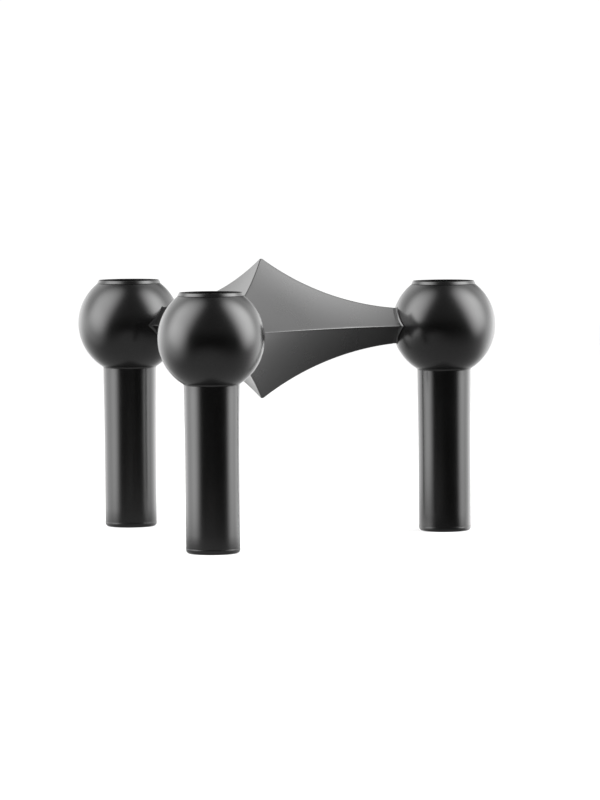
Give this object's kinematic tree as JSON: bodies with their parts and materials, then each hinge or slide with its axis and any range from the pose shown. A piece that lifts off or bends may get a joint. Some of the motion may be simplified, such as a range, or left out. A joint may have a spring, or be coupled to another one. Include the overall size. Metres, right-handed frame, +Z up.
{
  "type": "table candelabra",
  "caption": "Low black candelabra: a concave cast star joins ball-topped stems, each with a candle cup in the ball and a straight leg that stacks in another cup.",
  "frame": {"origin": "on the star's vertical axis, at the level of the table top under the foot caps", "axes": "+Z up along the star's axis; -Y from the star's axis towards the front stem; +X to the right, towards the right stem"},
  "size_m": [0.1134, 0.1019, 0.0727],
  "materials": {
    "black_lacquer": "satin",
    "cap_lacquer": "satin",
    "zinc_steel": "satin"
  },
  "bodies": {
    "root": {"star_body": "black_lacquer", "ball_shell_front": "black_lacquer", "leg_front": "black_lacquer", "foot_cap_front": "cap_lacquer", "candle_cup_front": "black_lacquer", "arm_saddle_front": "black_lacquer", "arm_washer_front": "zinc_steel", "arm_screw_front": "zinc_steel", "leg_plug_front": "zinc_steel", "cup_screw_front": "zinc_steel", "ball_shell_right": "black_lacquer", "leg_right": "black_lacquer", "foot_cap_right": "cap_lacquer", "candle_cup_right": "black_lacquer", "arm_saddle_right": "black_lacquer", "arm_washer_right": "zinc_steel", "arm_screw_right": "zinc_steel", "leg_plug_right": "zinc_steel", "cup_screw_right": "zinc_steel", "ball_shell_left": "black_lacquer", "leg_left": "black_lacquer", "foot_cap_left": "cap_lacquer", "candle_cup_left": "black_lacquer", "arm_saddle_left": "black_lacquer", "arm_washer_left": "zinc_steel", "arm_screw_left": "zinc_steel", "leg_plug_left": "zinc_steel", "cup_screw_left": "zinc_steel"}
  },
  "joints": []
}
